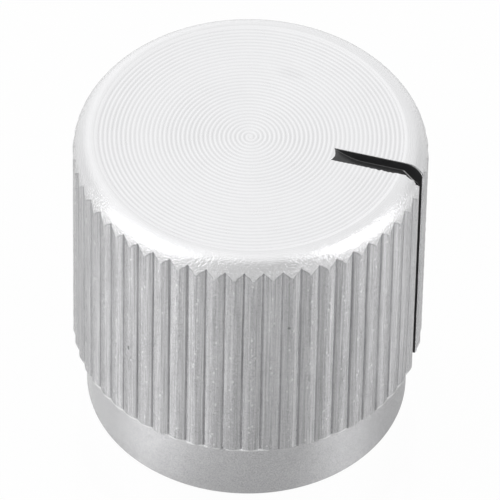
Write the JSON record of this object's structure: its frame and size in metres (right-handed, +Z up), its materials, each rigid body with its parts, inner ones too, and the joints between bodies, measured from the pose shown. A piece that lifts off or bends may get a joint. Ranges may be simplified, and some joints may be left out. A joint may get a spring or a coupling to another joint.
{
  "type": "guitar knob",
  "caption": "Turned aluminium control knob with a straight-knurled grip, a plain skirt, a black pointer line over the top and down the side, and a blind shaft bore with a set screw.",
  "frame": {"origin": "centre of the flat base, on the axis of the shaft bore", "axes": "+Z up along the shaft axis, from the base to the turned top; +X from the axis towards the pointer line; the set screw lies towards -X"},
  "size_m": [0.019, 0.019, 0.0189],
  "materials": {
    "satin_aluminium": "turned, satin etched and clear anodised",
    "black_paint": "satin black paint in the cut slot",
    "blackened_steel": "black oxide"
  },
  "bodies": {
    "root": {"knob_body": "satin_aluminium", "pointer_paint": "black_paint", "set_screw": "blackened_steel"}
  },
  "joints": []
}
